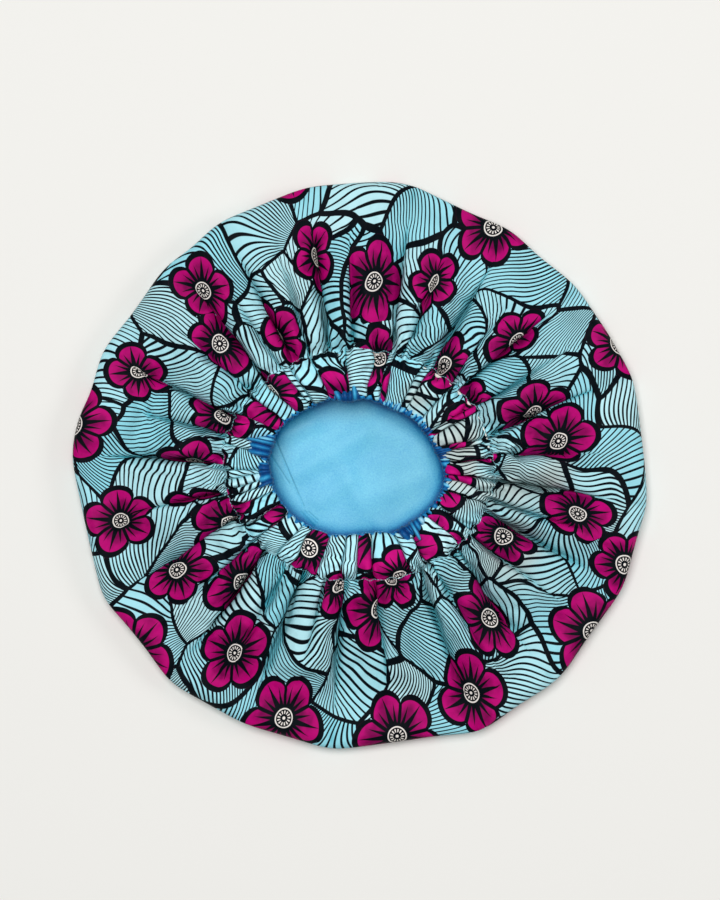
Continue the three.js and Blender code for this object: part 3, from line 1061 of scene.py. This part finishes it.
def rosettes(flat, ground):
    # round five-petalled flowers with veins and a dotted eye
    look, petals = cottonPrint, cottonPrint["petals"]
    flower = cells(flat, look["rosetteApart"], 0.5)
    chance = Wire(flower.outputs["Color"]).parts()
    bloom = flat - Wire(flower.outputs["Position"])
    x, y, _ = bloom.parts()
    reach = bloom.calc("LENGTH")
    angle = y.calc("ARCTAN2", x) + chance[0] * turn
    lobe = abs((angle * (petals / 2)).calc("COSINE")) ** 0.6
    size = (chance[1] * 0.3 + 0.85) * look["rosetteReach"]
    petalReach = size * (lobe * 0.34 + 0.66)
    along = reach / petalReach
    offAxis = abs((angle * (petals / turn) + 0.5).calc("FRACT") - 0.5) * (turn / petals)
    midVein = below(offAxis * reach, along * -3.2 + look["midVein"])
    sideVein = below(abs(offAxis - look["sideVeinAt"]) * reach, along * -2.8 + look["sideVein"])
    between = below((offAxis * -1 + pi / petals) * reach, look["petalGap"])
    border = near(reach, petalReach, look["petalEdge"])
    tone = noise(flat, 0.09, 2.0, "2D") * 0.9 + along
    petal = mixColour(below(tone, 1.10, 0.3), look["magenta"], look["plum"])
    petal = mixColour(most(midVein, sideVein, between, border, below(reach, look["eye"])), petal, look["ink"])
    inTick = (angle * (look["tickCount"] / turn)).calc("FRACT")
    tick = near(inTick, 0.5, 0.22, 0.05) * near(reach, *look["ticks"])
    petal = mixColour(most(near(reach, *look["hoop"]), tick, below(reach, look["dot"])), petal, look["chalk"])
    return mixColour(below(reach - petalReach, look["petalEdge"] - 0.05), ground, petal)


def printedCotton():
    made, tree, skin = newMaterial("printedCotton")
    flat = flatPlace(tree).scaled(1 / mm)
    paintedShadeAndLight = paintedShadeAndLightOf(tree)
    fade = noise(flat, 0.05, 3.0, "2D")  # slight unevenness of the dye
    dyeAndPaintedShade = {
        "Color": rosettes(flat, patchGround(flat)),
        # painted shade darkens the creases and low places, and painted light brightens the casing's puffs,
        # over the dye's unevenness
        "Value": paintedShadeAndLight * -0.60 + (fade * 0.16 + 0.92),
        "Saturation": most(paintedShadeAndLight, 0.0) * 0.5 + 1.0,  # painted shade: the creases are painted a richer colour
    }
    # plain weave and the slight crumple of cotton
    x, y, _ = flat.scaled(turn / cottonPrint["thread"]).parts()
    weave = x.calc("SINE") * y.calc("SINE")
    height = weave * 0.02 + noise(flat, 0.12, 3.0, "2D") * 0.8
    setInputs(skin, {
        "Base Color": wire(tree, "HueSaturation", dyeAndPaintedShade),
        "Normal": bump(height, 0.6, 0.0018),
        "Roughness": fade * 0.2 + 0.5,
        "Specular IOR Level": 0.06,
    })
    return made


# Colours of the satin, the pale blue of the painted highlight on the crests of its ruffle, and its fine sharp
# creases: two ends in millimetres
satinLook = {
    "deep": srgb(99, 189, 231),
    "pale": srgb(128, 216, 243),
    "paintedHighlight": srgb(180, 225, 246),
    "creases": [
        (-53.5, 19, -38.5, -17.5), (-51.5, 13, -35, -25), (-55, 6, -44, -11), (-36.2, -29, -28.5, -37.2),
        (-34, -28.5, -26.8, -35.5), (-31.8, -28.8, -26.2, -34),
    ],
}


def blueSatin():
    made, tree, skin = newMaterial("blueSatin")
    place, paintedShadeAndLight = laidPlace(tree), paintedShadeAndLightOf(tree)
    grain = noise(place, 1100.0, 2.0)
    shade = grain * 1.6 + (noise(place, 45.0, 2.0) - 0.8)
    colour = mixColour(shade, satinLook["deep"], satinLook["pale"])
    # painted shade: the grooves, the crown under the rim and the satin under the cover are painted a deeper,
    # darker blue; painted highlight: the crests of the ruffle are painted a paler blue
    paintedShading = most(paintedShadeAndLight, 0.0)
    colour = wire(tree, "Gamma", {"Color": colour, "Gamma": paintedShading * 3.0 + 1.0})
    colour = wire(tree, "HueSaturation", {"Color": colour, "Value": paintedShading * -0.6 + 1.0})
    colour = mixColour(most(paintedShadeAndLight * -0.9, 0.0), colour, satinLook["paintedHighlight"])
    height = noise(place, 70.0, 2.0) * 0.9 + grain * 0.10
    level = place * (1, 1, 0)
    for ends in satinLook["creases"]:
        x0, y0, x1, y1 = [mm * end for end in ends]
        long = math.hypot(x1 - x0, y1 - y0)
        ahead = ((x1 - x0) / long, (y1 - y0) / long, 0)
        fromEnd = level - (x0, y0, 0)
        along = wire(tree, "Clamp", {0: fromEnd.calc("DOT_PRODUCT", ahead), 1: 0.0, 2: long})
        onLine = wire(tree, "VectorMath", {0: ahead, "Scale": along}, operation="SCALE")
        height = height + below((fromEnd - onLine).calc("LENGTH"), 0.0005, 0.0006) * -0.55
    setInputs(skin, {
        "Base Color": colour,
        "Normal": bump(height, 0.6, 0.001),
        "Roughness": 0.45,
        "Anisotropic": 0.5,
        "Specular IOR Level": 0.2,
        "Sheen Weight": 0.04,
    })
    return made


def whiteElastic():
    made, tree, skin = newMaterial("whiteElastic")
    along, across, _ = flatPlace(tree).parts()
    rib = (across * (turn / 0.0014)).calc("SINE")
    height = (along * (turn / 0.0009)).calc("SINE") * 0.3 + rib
    setInputs(skin, {
        "Base Color": mixColour(height * 0.3 + 0.5, srgb(214, 211, 203), srgb(242, 240, 234)),
        "Normal": bump(height, 0.5, 0.0002),
        "Roughness": 0.75,
    })
    return made


def sewingThread(name, dark, light):
    made, tree, skin = newMaterial(name)
    fibre = noise(laidPlace(tree), 4000.0, 2.0)
    setInputs(skin, {
        "Base Color": mixColour(fibre, dark, light),
        "Normal": bump(fibre, 0.4, 0.0002),
        "Roughness": 0.65,
    })
    return made


aquaThread = sewingThread("aquaThread", srgb(104, 158, 170), srgb(146, 196, 206))
blueThread = sewingThread("blueThread", srgb(70, 140, 190), srgb(110, 184, 226))

for piece, finish, node, slot in [
    (cover, printedCotton(), "printed_cover", "printed_cotton"),
    (satin, blueSatin(), "satin_lining", "blue_satin"),
    (elastic, whiteElastic(), "elastic_band", "white_elastic"),
    (needleRow, aquaThread, "casing_needle_thread", "aqua_thread"),
    (bobbinRow, blueThread, "casing_bobbin_thread", "blue_thread"),
    (seamRow, blueThread, "rim_seam_stitching", "blue_thread"),
    (gapRow, blueThread, "rim_gap_stitching", "blue_thread"),
    (joinRow, aquaThread, "elastic_join_stitching", "aqua_thread"),
]:
    piece.data.materials.append(finish)
    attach(piece, "root")
    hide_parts(node)

print("finishes: done")

# Floor, light and camera
stage = {
    "pixel": 0.00062,  # metres in a pixel of the photograph, at the bonnet
    "frameRows": 900,
    "bonnetRow": 465.5,
    "cameraHeight": 2.2,
    "lamps": [("key", (-0.35, 0.60, 3.4), 2.4, 103), ("side", (2.4, 0.3, 1.6), 1.0, 14)],
    "sky": 0.18,
}


def makeFloor():
    slab = bmesh.new()
    bmesh.ops.create_grid(slab, x_segments=1, y_segments=1, size=3)
    bmesh.ops.translate(slab, verts=slab.verts[:], vec=(0, 0, -0.0002))
    floor = addPiece("floor", slab)
    made, tree, skin = newMaterial("paleFloor")
    setInputs(skin, {"Base Color": srgb(238, 237, 233), "Roughness": 0.9, "Specular IOR Level": 0.1})
    floor.data.materials.append(made)


def makeLight():
    scene.view_settings.view_transform = "Standard"
    scene.world = bpy.data.worlds.new("studio")
    scene.world.use_nodes = True
    sky = scene.world.node_tree.nodes["Background"]
    setInputs(sky, {"Color": (1, 1, 1, 1), "Strength": stage["sky"]})
    for name, place, size, energy in stage["lamps"]:
        light = bpy.data.lights.new(name, "AREA")
        light.shape = "DISK"
        light.size = size
        light.energy = energy
        lamp = bpy.data.objects.new(name, light)
        lamp.location = place
        lamp.rotation_euler = (-Vector(place)).to_track_quat("-Z", "Y").to_euler()
        scene.collection.objects.link(lamp)


def makeCamera():
    camera = bpy.data.objects.new("camera", bpy.data.cameras.new("camera"))
    scene.collection.objects.link(camera)
    height = stage["frameRows"]
    camera.location = (0, (stage["bonnetRow"] - height / 2) * stage["pixel"], stage["cameraHeight"])
    camera.data.sensor_fit = "VERTICAL"
    camera.data.angle = 2 * math.atan(height * stage["pixel"] / 2 / stage["cameraHeight"])
    camera.data.clip_end = 20
    scene.camera = camera


makeFloor()
makeLight()
makeCamera()

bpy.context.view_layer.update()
print(f"bonnet: ready after {time.time() - started:.0f} s")
